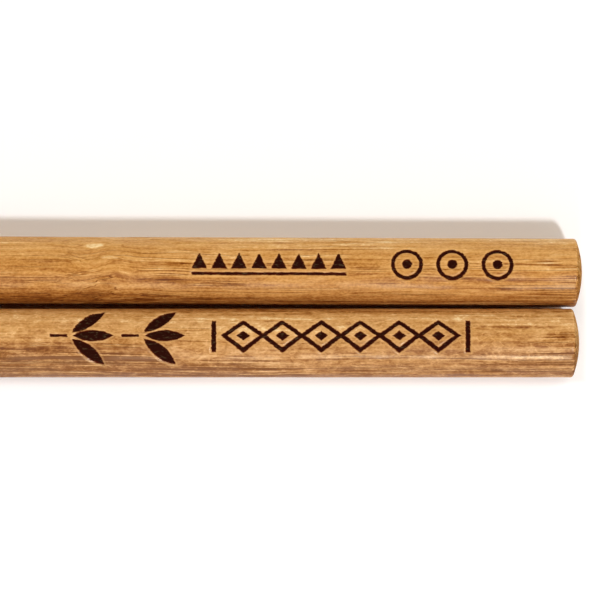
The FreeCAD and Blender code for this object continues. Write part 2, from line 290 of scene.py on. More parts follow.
class Shader:
    """The nodes of a material or of the world, with a short method for each kind in use."""

    def __init__(self, owner: Owner) -> None:
        """Starts the owner's nodes afresh.

        Args:
            owner: The material or world that the nodes belong to.
        """
        self.owner = owner
        self.owner.use_nodes = True
        self.tree = self.owner.node_tree
        self.tree.nodes.clear()

    def node(self, kind: str, inputs: dict | None = None, **settings: object) -> bpy.types.Node:
        """Adds a node.

        Args:
            kind: The node's type name.
            inputs: Values or sockets for its inputs, by name or index.
            settings: Values for its own properties.

        Returns:
            The new node.
        """
        made = self.tree.nodes.new(kind)
        for name, value in settings.items():
            setattr(made, name, value)
        for name, value in (inputs or {}).items():
            if isinstance(value, Socket):
                self.tree.links.new(value, made.inputs[name])
            else:
                made.inputs[name].default_value = value
        return made

    def attribute(self, name: str, output: str = "Fac") -> Socket:
        """Reads one of the mesh's own attributes."""
        return self.node("ShaderNodeAttribute", attribute_name=name).outputs[output]

    def math(self, operation: str, *values: object) -> Socket:
        """Works out a sum, product or other plain operation on numbers."""
        inputs = dict(enumerate(values))
        return self.node("ShaderNodeMath", inputs, operation=operation).outputs[0]

    def total(self, *values: object) -> Socket:
        """Adds up any number of values."""
        return reduce(partial(self.math, "ADD"), values)

    def vector_math(self, operation: str, vector: Socket, other: Triple) -> bpy.types.Node:
        """Works on two vectors: a product stretches a pattern, and a sum slides it."""
        return self.node("ShaderNodeVectorMath", {0: vector, 1: other}, operation=operation)

    def remap(self, value: Socket, rise: Rise) -> Socket:
        """Turns a value into another by a smooth change, flat beyond its ends.

        Args:
            value: The value to turn.
            rise: The change.

        Returns:
            Socket of the new value.
        """
        ends = dict(zip(("From Min", "From Max", "To Min", "To Max"), rise))
        made = self.node("ShaderNodeMapRange", {"Value": value, **ends},
                         interpolation_type="SMOOTHSTEP")
        return made.outputs["Result"]

    def blend(self, share: object, first: object, second: object, mode: str = "MIX") -> Socket:
        """Mixes two colours.

        Args:
            share: How much of the second colour shows, from 0 to 1.
            first: Colour or socket at 0.
            second: Colour or socket at 1.
            mode: How the second colour is laid over the first.

        Returns:
            The mixed colour's socket.
        """
        made = self.node("ShaderNodeMix", {0: share, 6: first, 7: second},
                         data_type="RGBA", blend_type=mode)
        return made.outputs[2]

    def ramp(self, value: Socket, stops: list[tuple[float, Colour]]) -> Socket:
        """Turns a number into a colour that runs through a list of stops.

        Args:
            value: The number, from 0 to 1.
            stops: Places in rising order, each with its colour.

        Returns:
            The colour's socket.
        """
        made = self.node("ShaderNodeValToRGB", {0: value})
        elements = made.color_ramp.elements
        while len(elements) < len(stops):
            elements.new(1.0)
        for element, (position, colour) in zip(elements, stops):
            element.position = position
            element.color = colour
        return made.outputs["Color"]

    def seen(self) -> Socket:
        """Tells the rays that show a thing from those that light it.

        Returns:
            Socket that is 1 for camera, mirror and transmission rays, and 0 for lighting.
        """
        path = self.node("ShaderNodeLightPath").outputs
        seen = self.math("MAXIMUM", path["Is Camera Ray"], path["Is Glossy Ray"])
        return self.math("MAXIMUM", seen, path["Is Transmission Ray"])

    def finish(self, surface: Socket, kind: str = "Material") -> Owner:
        """Joins the surface to the output of the owner's kind and returns the owner."""
        self.node(f"ShaderNodeOutput{kind}", {"Surface": surface})
        return self.owner


class Weave(NamedTuple):
    """A noise in the grain.

    Along and across say how often it changes in a millimetre. Tone and relief say how much of
    it goes into the wood's tone and height.
    """

    along: float
    across: float
    detail: float = 1.0
    tone: float = 0.0
    relief: float = 0.0


class FibreLines(NamedTuple):
    """Long thin lines where a stretched noise passes through zero.

    Length is the millimetres over which a line wanders. Width is a line's half width as a
    value of the noise, solid the share of it that is full, and aside, in such widths, the
    pale line's distance from the dark one.
    """

    per_mm: float
    length: float
    width: float
    solid: float = 0.25
    aside: float = 1.8


class FibreBundles(NamedTuple):
    """Fibre bundles that the turned surface cuts, as dashes with tapered ends.

    Each lies in a cell, length millimetres long. Thick is its half thickness as a share of
    the cell, and solid the share of that which is full.
    """

    per_mm: float = 1.7
    length: float = 24.0
    thick: float = 0.16
    solid: float = 0.45


@dataclass(frozen=True)
class BambooFinish:
    """Heat-darkened bamboo under a thin satin lacquer, with burned marks.

    The grain's co-ordinates are millimetres: along the stick, then across it both ways. All
    patterns are stretched along the stick, as bamboo's fibre bundles are. A side of the stick
    is named by its direction across and up, and a place lies from -1 to 1 towards it.
    """

    name: str
    seed: Triple
    # Colours of the grain from dark to pale, of its painted sheen, of the marks and of the end.
    deep: Colour = srgb(104, 48, 4)
    dark: Colour = srgb(154, 93, 31)
    body: Colour = srgb(199, 141, 71)
    light: Colour = srgb(225, 172, 103)
    pale: Colour = srgb(252, 222, 166)
    sheen_veiled_dark: Colour = srgb(142, 96, 56)
    sheen_veiled: Colour = srgb(196, 147, 99)
    sheen_veiled_light: Colour = srgb(234, 190, 145)
    char: Colour = srgb(40, 9, 3)
    scorch: Colour = srgb(84, 26, 7)
    ash: Colour = srgb(84, 70, 48)
    end_tint: Colour = (0.75, 0.73, 0.67, 1.0)
    # The grain's noises, lines and bundles.
    broad: Weave = Weave(0.03, 0.3, 2.0, tone=0.48)
    streak: Weave = Weave(0.05, 2.0, 2.0, tone=0.85, relief=0.9)
    fibre: Weave = Weave(0.35, 3.8, 1.5, tone=0.50, relief=1.0)
    speck: Weave = Weave(3.0, 5.2, 2.0, tone=0.50, relief=0.5)
    blotch: Weave = Weave(0.9, 1.4, 3.0, tone=1.0, relief=1.6)
    calm: Weave = Weave(0.045, 0.22)
    patch: Weave = Weave(0.10, 0.55)
    fine_patch: Weave = Weave(0.16, 0.8)
    long_lines: FibreLines = FibreLines(1.2, 80.0, 0.024)
    fine_lines: FibreLines = FibreLines(2.3, 44.0, 0.034)
    arc_lines: FibreLines = FibreLines(1.5, 1.3, 0.05)
    cut_bundles: FibreBundles = FibreBundles()
    # How strongly each of them shows in the tone and in the relief.
    middle_tone: float = 0.51
    lines: float = 0.30
    # The pale lines are in part painted highlight, the glint on a ridge beside a dark line.
    pale_lines_and_glints: float = 0.16
    bundles: float = 0.36
    mottle: float = 0.30
    peel: float = 0.0
    busy: Rise = Rise(-0.12, 0.08, 0.60, 1.10)
    often: Rise = Rise(-0.08, 0.14)
    seldom: Rise = Rise(-0.02, 0.16)
    dark_relief: float = -0.45
    pale_relief: float = 0.3
    cream_tone: float = 0.60
    cream_rim: float = 0.30
    # The rind's side and the handle's end have more lines. Reaches are in millimetres.
    rind: Pair = (0.0, 1.0)
    rind_lines: float = 0.12
    end_lines: float = 0.14
    end_reach: float = 9.0
    # Painted shade: darker towards the front and by the gap, more so far from the handle's end.
    shaded_side: Pair = (-0.97, -0.24)
    painted_shade_tone: float = 0.16
    painted_shade_limit: float = -0.6
    shaded_flank: Pair = (0.54, 1.0)
    shaded_flank_tone: float = 0.17
    far_shade_reach: Pair = (34.0, 56.0)
    far_shaded_flank_tone: float = 0.25
    far_shade_skew: float = 0.15
    gap_shaded_flank: Pair = (-0.84, -0.97)
    gap_shade_tone: float = 0.0
    # Painted sheen: a paler, greyer veil of reflected light over the shaded side.
    painted_sheen: float = 0.12
    painted_sheen_side: Pair = (-0.5, 0.7)
    painted_sheen_mottle: float = 0.8
    # The end grain and the burned marks, whose edges are ragged. Edges are in millimetres.
    end_noise: Weave = Weave(1.0, 3.0, 2.0, tone=0.9)
    end_edge: Rise = Rise(0.35, 0.65)
    halo: Rise = Rise(0.30, 0.05, 0.0, 0.35)
    ragged: Weave = Weave(1.2, 4.0, 2.0, tone=0.22)
    burned: Rise = Rise(0.03, -0.05)
    deep_burn: Rise = Rise(-0.02, -0.16)
    crumb_noise: Weave = Weave(2.0, 5.0, 2.0)
    crumbs: Rise = Rise(0.04, 0.22, 0.0, 0.5)
    # The lacquer, which is thin in patches and missing on the end grain and the marks.
    roughness: float = 0.55
    dull_roughness: float = 0.35
    specular: float = 0.04
    coat: float = 0.34
    coat_roughness: float = 0.30
    coat_noise: Weave = Weave(0.22, 1.3, 3.0)
    coat_patches: Rise = Rise(-0.16, 0.14, 0.15, 1.0)
    bump: float = 0.06 * MM

    def material(self) -> bpy.types.Material:
        """Builds the material, whose colour, gloss and bump come from the grain and the marks."""
        return BambooShader(self).dress()


class BambooShader(Shader):
    """The nodes of a bamboo material, laid over the stick's grain co-ordinates.

    Each finish adds its own seed to them, so that no two sticks have the same pattern.
    """

    def __init__(self, look: BambooFinish) -> None:
        """Starts the material and reads the co-ordinates.

        Args:
            look: The finish that the material shows.
        """
        super().__init__(bpy.data.materials.new(look.name))
        self.look = look
        self.times = partial(self.math, "MULTIPLY")
        self.place = self.attribute(GRAIN, "Vector")
        self.along = self.node("ShaderNodeSeparateXYZ", {0: self.place}).outputs[0]
        self.grain = self.vector_math("ADD", self.place, look.seed).outputs[0]

    def stretched(self, along: float, across: float) -> Socket:
        """Scales the grain's co-ordinates along and across, which stretches a pattern."""
        return self.vector_math("MULTIPLY", self.grain, (along, across, across)).outputs[0]

    def weave(self, weave: Weave) -> Socket:
        """Lays a noise over the grain.

        Args:
            weave: Its pace and detail.

        Returns:
            Socket of the noise, which lies about zero and mostly within 0.25 of that.
        """
        noise = self.node("ShaderNodeTexNoise", {
            "Vector": self.stretched(weave.along, weave.across), "Scale": 1.0,
            "Detail": weave.detail})
        return self.math("SUBTRACT", noise.outputs["Fac"], 0.5)

    def fibre_lines(self, lines: FibreLines) -> tuple[Socket, ...]:
        """Lays long thin lines over the grain.

        Args:
            lines: Their length, pace and width.

        Returns:
            Sockets that are 1 on the dark line, and 1 on the pale line along its side.
        """
        noise = self.weave(Weave(1 / lines.length, lines.per_mm))
        beside = self.math("SUBTRACT", noise, lines.width * lines.aside)
        fade = Rise(lines.width, lines.width * lines.solid)
        return tuple(self.remap(self.math("ABSOLUTE", line), fade) for line in (noise, beside))

    def fibre_bundles(self, bundles: FibreBundles) -> Socket:
        """Lays cut fibre bundles over the grain.

        Args:
            bundles: Their length, pace and thickness.

        Returns:
            Socket that is 1 in the middle of a bundle and 0 away from it.
        """
        cells = self.node("ShaderNodeTexVoronoi", {
            "Vector": self.stretched(1 / bundles.length, bundles.per_mm), "Scale": 1.0})
        fade = Rise(bundles.thick, bundles.thick * bundles.solid)
        return self.remap(cells.outputs["Distance"], fade)

    def side(self, towards: Pair) -> Socket:
        """Tells how far a place lies towards a side, from -1 to 1."""
        direction = (0.0, *(part / HANDLE_RADIUS_MM for part in towards))
        return self.vector_math("DOT_PRODUCT", self.place, direction).outputs["Value"]

    def marks(self) -> tuple[Socket, ...]:
        """Works out where fibre lines and cut bundles show, which is more in some patches.

        Returns:
            Sockets of the dark lines, the pale lines, in part painted highlight, and the bundles.
        """
        look, times = self.look, self.times
        more = self.total(
            times(self.side(look.rind), look.rind_lines),
            self.remap(self.along, Rise(look.end_reach, 0.0, 0.0, look.end_lines)))
        often = self.remap(self.total(self.weave(look.patch), more), look.often)
        seldom = self.remap(self.total(self.weave(look.fine_patch), more), look.seldom)
        lines = zip(self.fibre_lines(look.long_lines), self.fibre_lines(look.fine_lines))
        dark, pale = (self.math("MAXIMUM", times(coarse, often), times(fine, seldom))
                      for coarse, fine in lines)
        return dark, pale, times(self.fibre_bundles(look.cut_bundles), seldom)

    def painted_flank_shade(self, shaded: Socket) -> Socket:
        """Works out the painted shade round the stick: darker towards the front and by the gap.

        Args:
            shaded: How far a place lies towards the shaded side.

        Returns:
            Socket of the tone to add, which is below zero where shade is painted.
        """
        look = self.look
        skew = self.remap(self.along, Rise(*look.far_shade_reach, 0.0, look.far_shade_skew))
        tone = self.remap(self.along, Rise(*look.far_shade_reach, -look.shaded_flank_tone,
                                           -look.far_shaded_flank_tone))
        limited = self.math("MAXIMUM", shaded, look.painted_shade_limit)
        # Painted shade: lighter to the back, darker to the front and by the gap.
        return self.total(
            self.times(limited, -look.painted_shade_tone),
            self.times(self.remap(self.total(shaded, skew), Rise(*look.shaded_flank)), tone),
            self.remap(shaded, Rise(*look.gap_shaded_flank, 0.0, -look.gap_shade_tone)))

    def wood(self) -> tuple[Socket, Socket]:
        """Works out the bare wood with its painted shade and painted sheen.

        Returns:
            Sockets of its colour and of the height for the bump.
        """
        look, times = self.look, self.times
        weaves = (look.broad, look.streak, look.fibre, look.speck, look.blotch)
        broad, streak, fibre, speck, blotch = (self.weave(weave) for weave in weaves)
        dark, pale, bundles = self.marks()
        # How far a place lies towards the front side, where shade and sheen are painted.
        shaded = self.side(look.shaded_side)
        cream = self.attribute(NODE_PALE)
        marked = self.total(
            times(streak, look.streak.tone), times(fibre, look.fibre.tone),
            times(dark, -look.lines), times(bundles, -look.bundles),
            times(pale, look.pale_lines_and_glints))
        tone = self.total(
            look.middle_tone, times(broad, look.broad.tone),
            times(marked, self.remap(self.weave(look.calm), look.busy)),
            times(speck, look.speck.tone), times(blotch, look.blotch.tone * look.mottle),
            times(self.fibre_lines(look.arc_lines)[1], look.peel), self.painted_flank_shade(shaded),
            times(cream, self.math("SUBTRACT", times(cream, look.cream_tone),
                                   look.cream_rim)))
        colour = self.ramp(tone, [(0.0, look.deep), (0.25, look.dark), (0.5, look.body),
                                  (0.75, look.light), (1.0, look.pale)])
        # Painted sheen: the grain's tones under a paler, greyer veil of reflected light.
        sheen_veiled = self.ramp(tone, [(0.10, look.sheen_veiled_dark), (0.45, look.sheen_veiled),
                                (0.85, look.sheen_veiled_light)])
        painted_sheen = self.remap(self.total(shaded, times(blotch, look.painted_sheen_mottle)),
                           Rise(*look.painted_sheen_side, 0.0, look.painted_sheen))
        height = self.total(
            times(fibre, look.fibre.relief), times(streak, look.streak.relief),
            times(speck, look.speck.relief), times(dark, look.dark_relief),
            times(bundles, look.dark_relief), times(pale, look.pale_relief),
            times(blotch, look.blotch.relief * look.mottle))
        return self.blend(painted_sheen, colour, sheen_veiled), height

    def burn(self, wood: Socket) -> tuple[Socket, ...]:
        """Lays the burned marks over the wood: a pale halo, a scorched rim and char inside.

        Args:
            wood: The wood's colour.

        Returns:
            Sockets of the colour, and of how far a place is burned.
        """
        look = self.look
        edge = self.attribute(BURN_EDGE)
        wood = self.blend(self.remap(edge, look.halo), wood, look.light)
        rim = self.total(edge, self.times(self.weave(look.ragged), look.ragged.tone))
        burned = self.remap(rim, look.burned)
        deep_burn = self.remap(rim, look.deep_burn)
        char = self.blend(deep_burn, look.scorch, look.char)
        crumbs = self.remap(self.weave(look.crumb_noise), look.crumbs)
        char = self.blend(self.times(crumbs, deep_burn), char, look.ash)
        return self.blend(burned, wood, char), burned

    def dress(self) -> bpy.types.Material:
        """Lays the end grain, the marks and the lacquer over the wood.

        Returns:
            The finished material.
        """
        look, times = self.look, self.times
        wood, height = self.wood()
        end_noise = times(self.weave(look.end_noise), look.end_noise.tone)
        end = self.remap(self.total(self.attribute(END_GRAIN), end_noise), look.end_edge)
        colour, burned = self.burn(self.blend(end, wood, look.end_tint, mode="MULTIPLY"))
        dull = self.math("MAXIMUM", burned, end)
        patches = self.remap(self.weave(look.coat_noise), look.coat_patches)
        bump = self.node("ShaderNodeBump", {"Height": height, "Strength": 1.0,
                                            "Distance": look.bump})
        surface = self.node("ShaderNodeBsdfPrincipled", {
            "Base Color": colour, "Normal": bump.outputs[0],
            "Roughness": self.total(look.roughness, times(dull, look.dull_roughness)),
            "Specular IOR Level": look.specular, "Coat Roughness": look.coat_roughness,
            "Coat Weight": times(self.math("SUBTRACT", 1.0, dull), times(patches, look.coat))})
        return self.finish(surface.outputs[0])


@dataclass(frozen=True)
class TableFinish:
    """White table top that reads as white to the camera and still takes a shadow.

    Painted light: it glows faintly to the camera in front of the sticks and beyond their
    handle ends, which lifts their faint shade and warm tinge, and not behind them, where the
    shadow lies.
    """

    colour: Colour = (0.90, 0.90, 0.90, 1.0)
    seen_colour: Colour = WHITE
    painted_glow: float = 0.26
    painted_glow_front: Rise = Rise(-7.0 * MM, -8.2 * MM)
    painted_glow_end: Rise = Rise(115.3 * MM, 116.8 * MM)

    def material(self) -> bpy.types.Material:
        """Builds the material.

        Returns:
            Plain white, and a shade whiter to camera, mirror and transmission rays.
        """
        shader = Shader(bpy.data.materials.new("white_table"))
        seen = shader.seen()
        colour = shader.blend(seen, self.colour, self.seen_colour)
        place = shader.node("ShaderNodeTexCoord").outputs["Object"]
        place = shader.node("ShaderNodeSeparateXYZ", {0: place}).outputs
        # Painted light: the glow lifts the table to the camera in front of and beyond the sticks.
        clear = shader.math("MAXIMUM", shader.remap(place[1], self.painted_glow_front),
                            shader.remap(place[0], self.painted_glow_end))
        painted_glow = shader.math("MULTIPLY", shader.math("MULTIPLY", clear, seen), self.painted_glow)
        lit = shader.node("ShaderNodeBsdfDiffuse", {"Color": colour}).outputs[0]
        glowing = shader.node("ShaderNodeEmission", {"Color": WHITE, "Strength": painted_glow})
        both = shader.node("ShaderNodeAddShader", {0: lit, 1: glowing.outputs[0]})
        return shader.finish(both.outputs[0])


@dataclass(frozen=True)
class TurnedProfile:
    """Outline of a turned stick, from the middle of its handle end to the end of its tip."""

    length: float
    handle_radius: float
    parallel_length: float = 110 * MM
    tip_radius: float = 1.5 * MM
    crown: float = 1.0 * MM
    rim_round: float = 0.4 * MM
    tip_crown: float = 1.0 * MM
    fine_length: float = 62 * MM
    crown_rows: int = 24
    rim_rows: int = 6
    fine_rows: int = 470
    handle_rows: int = 60
    taper_rows: int = 90
    tip_rows: int = 12

    def stations(self) -> tuple[Array, Array]:
        """Works out the outline's points.

        The handle end is a cap of a sphere, round its rim is a quarter-like bend that touches
        both cap and side, then come the straight side, the straight taper and the tip's cap.

        Returns:
            Distance from the handle end and radius, for each row of the grid.
        """
        inner = self.handle_radius - self.rim_round
        sphere = ((self.crown ** 2 + inner ** 2 - self.rim_round ** 2)
                  / (2 * (self.crown - self.rim_round)))
        turn = math.atan2(inner, sphere - self.crown)
        tip_rim = self.length - self.tip_crown
        steps = partial(np.linspace, endpoint=False)
        cap = steps(0, turn, self.crown_rows)
        bend = steps(turn, math.pi / 2, self.rim_rows)
        fine = steps(self.crown, self.fine_length, self.fine_rows)
        rest = steps(self.fine_length, self.parallel_length, self.handle_rows)
        taper = steps(self.parallel_length, tip_rim, self.taper_rows)
        tip_sphere = (self.tip_crown ** 2 + self.tip_radius ** 2) / (2 * self.tip_crown)
        tip_turn = math.atan2(self.tip_radius, tip_sphere - self.tip_crown)
        tip = np.linspace(tip_turn, 0, self.tip_rows)
        fall = (taper - self.parallel_length) / (tip_rim - self.parallel_length)
        along = np.concatenate([
            sphere * (1 - np.cos(cap)), self.crown - self.rim_round * np.cos(bend),
            fine, rest, taper, self.length - tip_sphere * (1 - np.cos(tip))])
        radius = np.concatenate([
            sphere * np.sin(cap), inner + self.rim_round * np.sin(bend),
            np.full(len(fine) + len(rest), self.handle_radius),
            self.handle_radius + (self.tip_radius - self.handle_radius) * fall,
            tip_sphere * np.sin(tip)])
        return along, radius


@dataclass(frozen=True)
class ClosedSkin:
    """Faces over a grid of rows along a stick by columns round it, with a point at each end.

    The grid's first and last rows each lie in one point, and its last column meets its first.
    """

    rows: int
    columns: int
    gutter: float = 0.012

    def fold(self, values: Array) -> Array:
        """Takes the grid's values to the mesh's points, with one point for each end row.

        Args:
            values: Grid of rows by columns, with any number of values at each place.

        Returns:
            One row for each point: all inner places in order, then the first end, then the last.
        """
        inner = values[1:-1].reshape(-1, *values.shape[2:])
        return np.concatenate([inner, values[0, :1], values[-1, :1]])

    def mesh(self, name: str, points: Array) -> bpy.types.Mesh:
        """Makes the mesh, with quads between the inner rows and a fan to each end point.

        Args:
            name: The mesh's name.
            points: Grid of points.

        Returns:
            Smooth mesh whose faces point outwards.
        """
        inner = self.rows - 2
        here = np.arange(inner * self.columns).reshape(inner, self.columns)
        beside = np.roll(here, -1, axis=1)
        quads = np.stack([here[:-1], beside[:-1], beside[1:], here[1:]], axis=-1)
        ends = np.full((2, self.columns), inner * self.columns) + [[0], [1]]
        fans = [np.stack([ends[0], beside[0], here[0]], axis=-1),
                np.stack([ends[1], here[-1], beside[-1]], axis=-1)]
        faces = quads.reshape(-1, 4).tolist() + np.concatenate(fans).tolist()
        mesh = bpy.data.meshes.new(name)
        mesh.from_pydata(self.fold(points), [], faces)
        mesh.shade_smooth()
        return mesh

    def store(self, mesh: bpy.types.Mesh, name: str, values: Array) -> None:
        """Keeps a grid of numbers or of three-part vectors as an attribute of the mesh.

        Args:
            mesh: Mesh that this skin made.
            name: The attribute's name.
            values: Grid of values.
        """
        folded = self.fold(values).astype(np.float32)
        if folded.ndim == 1:
            mesh.attributes.new(name, "FLOAT", "POINT").data.foreach_set("value", folded)
        else:
            kept = mesh.attributes.new(name, "FLOAT_VECTOR", "POINT")
            kept.data.foreach_set("vector", folded.ravel())

    def unroll(self, mesh: bpy.types.Mesh, path: Array, turn: Array,
               lanes: tuple[float, ...]) -> None:
        """Lays the skin out flat for baking, cut across into lanes that lie one above another.

        Across the map runs the length along the surface from a lane's start to its end, and up
        a lane runs the turn about the axis.

        Args:
            mesh: Mesh that this skin made.
            path: Length along the surface to each row.
            turn: Turn of each column about the axis, and the first column's again, a turn on.
            lanes: Length along the surface at which each lane starts.
        """
        starts = np.searchsorted(path, lanes)
        stops = np.append(starts[1:], self.rows - 1)
        share = (turn - turn[0]) / FULL_TURN

        def place(row: Array, column: Array, lane: Array) -> Array:
            """Finds a place on the map.

            Args:
                row: Row of the grid.
                column: Column of the grid, which may lie between two.
                lane: The lane that the row is in.

            Returns:
                Places across and up the map, from 0 to 1.
            """
            run = (path[row] - path[starts[lane]]) / (path[stops[lane]] - path[starts[lane]])
            around = np.interp(column, np.arange(len(share)), share)
            margin = self.gutter * len(lanes)
            rise = (lane + margin + (1 - 2 * margin) * around) / len(lanes)
            run = self.gutter + (1 - 2 * self.gutter) * run
            return np.stack(np.broadcast_arrays(run, rise), axis=-1)

        row, column = np.mgrid[1:self.rows - 2, :self.columns]
        lane = np.searchsorted(starts, row, side="right") - 1
        ring = np.arange(self.columns)
        faces = ((row, column, lane, ((0, 0), (0, 1), (1, 1), (1, 0))),
                 (0, ring, 0, ((0, 0.5), (1, 1), (1, 0))),
                 (self.rows - 1, ring, len(lanes) - 1, ((0, 0.5), (-1, 0), (-1, 1))))
        places = [
            np.stack([place(row + on, column + aside, lane) for on, aside in corners],
                     axis=-2).reshape(-1, 2)
            for row, column, lane, corners in faces]
        bake = mesh.uv_layers.new(name=BAKE_MAP)
        bake.uv.foreach_set("vector", np.concatenate(places).astype(np.float32).ravel())


@dataclass(frozen=True)
class GrowthNode:
    """A joint of the bamboo cane that the stick was cut from: the grain swirls round it.

    Cream lenses lie round it in the grain, in a band on the back of the stick's top. The
    band's edges are millimetres from the axis. A wave is its pace in radians for each
    millimetre along the stick and across it.
    """

    along: float = 52.5 * MM
    reach: float = 4.8 * MM
    swirl: float = 0.26 * MM
    dip: float = 0.03 * MM
    strength: float = 1.0
    band_front: Pair = (0.1, 0.7)
    band_back: Pair = (2.9, 2.2)
    lens_edge: Pair = (-0.05, 0.75)
    lens_waves: tuple[Triple, Triple] = ((1.0, 0.9, 0.0), (-0.3, 2.4, 0.5))
    swirl_waves: tuple[Pair, Pair] = ((0.85, 1.6), (0.7, 1.9))

    def nearness(self, along: Array) -> Array:
        """Bell curve along the stick, highest at the joint."""
        return self.strength * np.exp(-((along - self.along) / self.reach) ** 2)

    def cream(self, at: Spots) -> Array:
        """Cream lenses, which lie where the product of two crossed slanting waves is high.

        Args:
            at: Places on the stick.

        Returns:
            Share of cream from 0 to 1.
        """
        x, y, z = (part / MM for part in at)
        first, second = (x * wave[0] + y * wave[1] + z * wave[2] for wave in self.lens_waves)
        band = smooth_step(y, *self.band_front) * smooth_step(y, *self.band_back) * (z > 0)
        lenses = smooth_step(np.sin(first) * np.cos(second), *self.lens_edge)
        return self.nearness(at.along) * band * lenses


class Ridges(NamedTuple):
    """A set of ridges round a stick: how many, their share, and how they wander along it."""

    count: int
    share: float
    run: float
    phase: float


@dataclass(frozen=True)
class Chopstick:
    """One turned stick of bamboo with burned marks on top of its handle.

    Near both rims the surface is plain, and the pairs of lengths tell from where to where
    that changes, as for the end grain. A drift of the grain is its size and its run along the
    stick, in millimetres, and its phase, and a share of it goes upwards.
    """

    place: Place
    motifs: tuple[Motif, ...]
    finish: BambooFinish
    growth: GrowthNode
    columns: int = 138
    crowding: float = 0.42
    burn_depth: float = 0.12 * MM
    burn_wall: float = 0.10 * MM
    ridge_depth: float = 0.012 * MM
    ridge_drift: float = 1.4
    ridge_sets: tuple[Ridges, ...] = (
        Ridges(9, 1.0, 23 * MM, 0.9), Ridges(17, 0.8, 14 * MM, 1.7),
        Ridges(31, 0.6, 9 * MM, 2.9), Ridges(44, 0.4, 6 * MM, 0.4))
    drifts: tuple[Triple, ...] = ((0.16, 17.0, 0.0), (0.07, 5.3, 1.0))
    drift_upwards: float = 0.8
    sanding: float = 0.012 * MM
    handle_rim: Pair = (0.6 * MM, 1.2 * MM)
    tip_rim: Pair = (0.6 * MM, 1.6 * MM)
    end_grain: Pair = (0.55 * MM, 0.95 * MM)
    gap: float = 0.36 * MM
    lean: float = 0.12
    lanes: tuple[float, ...] = (0.0, 69 * MM, 150 * MM)

    @property
    def node(self) -> str:
        """Name of the solid that this stick stands for."""
        return f"{self.place.value}_chopstick"

    def lay(self, at: Spots) -> Array:
        """Lays the stick on the table, where it leans towards the other at the handle end.

        It is a turn about the upright line through the handle end's middle, and then a shift.

        Args:
            at: Places on the stick.

        Returns:
            Grid of points in the shared frame.
        """
        low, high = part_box(self.node)
        side = 1 if self.place is Place.BACK else -1
        lean = side * math.radians(self.lean)
        middle = (high.z + low.z) / 2
        x = high.x - at.along * math.cos(lean) + at.across * math.sin(lean)
        y = (side * (middle + self.gap / 2) + at.along * math.sin(lean)
             + at.across * math.cos(lean))
        return np.stack([x, y, middle + at.up], axis=-1)

    def turns(self) -> Array:
        """Turns of the columns about the axis, from the bottom round to the bottom again.

        They crowd towards the top, where the marks are, by turn = t - crowding * sin(t).

        Returns:
            Turns in rising order, with the first column's again at the end.
        """
        even = np.linspace(-math.pi, math.pi, self.columns + 1)
        return even - self.crowding * np.sin(even)

    def burned_edge(self, at: Spots) -> Array:
        """Signed distance to the marks, as they are burned in from straight above.

        Args:
            at: Places on the stick.

        Returns:
            Distance in metres, negative inside a mark, and far outside on the lower half.
        """
        far = 2 * MM
        nearest = np.minimum.reduce([motif.distance(at) for motif in self.motifs])
        return np.where(at.up > 0, np.clip(nearest, -far, far), far)

    def ridges(self, along: Array, turn: Array) -> Array:
        """Shallow lengthwise ridges that the turned fibres leave, as a depth below the form.

        It is a sum of cosines round the stick, each with a phase that drifts along it.

        Args:
            along: Distance from the handle end.
            turn: Turn about the axis.

        Returns:
            Depth in metres, never negative.
        """
        height = sum(
            ridges.share * np.cos(ridges.count * turn + ridges.phase
                                  + self.ridge_drift * np.sin(along / ridges.run))
            for ridges in self.ridge_sets)
        most = sum(ridges.share for ridges in self.ridge_sets)
        return self.ridge_depth * (0.5 - 0.5 * height / most)

    def grain(self, at: Spots) -> Array:
        """Grain co-ordinates in millimetres, which drift slowly and swirl round the node.

        The drift is a sum of sines along the stick. The swirl is a wave that slants across
        the stick, and its size is the growth node's.

        Args:
            at: Places on the stick.

        Returns:
            Grid of three-part co-ordinates.
        """
        swirl = self.growth.nearness(at.along) * self.growth.swirl / MM
        x, y, z = (part / MM for part in at)
        drift = sum(size * np.sin(x / run + phase) for size, run, phase in self.drifts)
        (along_y, slant_y), (along_z, slant_z) = self.growth.swirl_waves
        y_grain = y + drift + swirl * np.sin(along_y * x + slant_y * z)
        z_grain = z + self.drift_upwards * drift + swirl * np.cos(along_z * x + slant_z * y)
        return np.stack([x, y_grain, z_grain], axis=-1)

    def build(self) -> bpy.types.Object:
        """Builds, dresses and places the stick.

        Returns:
            The finished object.
        """
        low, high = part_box(self.node)
        profile = TurnedProfile(length=high.x - low.x, handle_radius=(high.z - low.z) / 2)
        stations, radii = profile.stations()
        turns = self.turns()
        along, turn = np.meshgrid(stations, turns[:-1], indexing="ij")
        radius = np.repeat(radii[:, None], self.columns, axis=1)
        edge = self.burned_edge(Spots(along, radius * np.sin(turn), radius * np.cos(turn)))
        sunk = smooth_step(-edge, -self.burn_wall / 2, self.burn_wall / 2)
        growth = self.growth.nearness(along) * self.growth.dip * np.sin(turn) ** 2
        worn = sunk * self.burn_depth + (1 - sunk) * (self.ridges(along, turn) + growth)
        body = (smooth_step(along, *self.handle_rim)
                * smooth_step(profile.length - along, *self.tip_rim))
        radius = radius - body * (worn + self.sanding)
        at = Spots(along, radius * np.sin(turn), radius * np.cos(turn))
        skin = ClosedSkin(rows=len(stations), columns=self.columns)
        mesh = skin.mesh(f"{self.place.value}_bamboo_stick", self.lay(at))
        skin.store(mesh, GRAIN, self.grain(at))
        skin.store(mesh, BURN_EDGE, edge / MM)
        skin.store(mesh, END_GRAIN, 1 - smooth_step(along, *self.end_grain))
        skin.store(mesh, NODE_PALE, self.growth.cream(at))
        steps = np.hypot(np.diff(stations), np.diff(radii))
        skin.unroll(mesh, np.append(0, np.cumsum(steps)), turns, self.lanes)
        mesh.materials.append(self.finish.material())
        stick = bpy.data.objects.new(mesh.name, mesh)
        bpy.context.scene.collection.objects.link(stick)
        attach(stick, "root")
        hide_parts(self.node)
        return stick


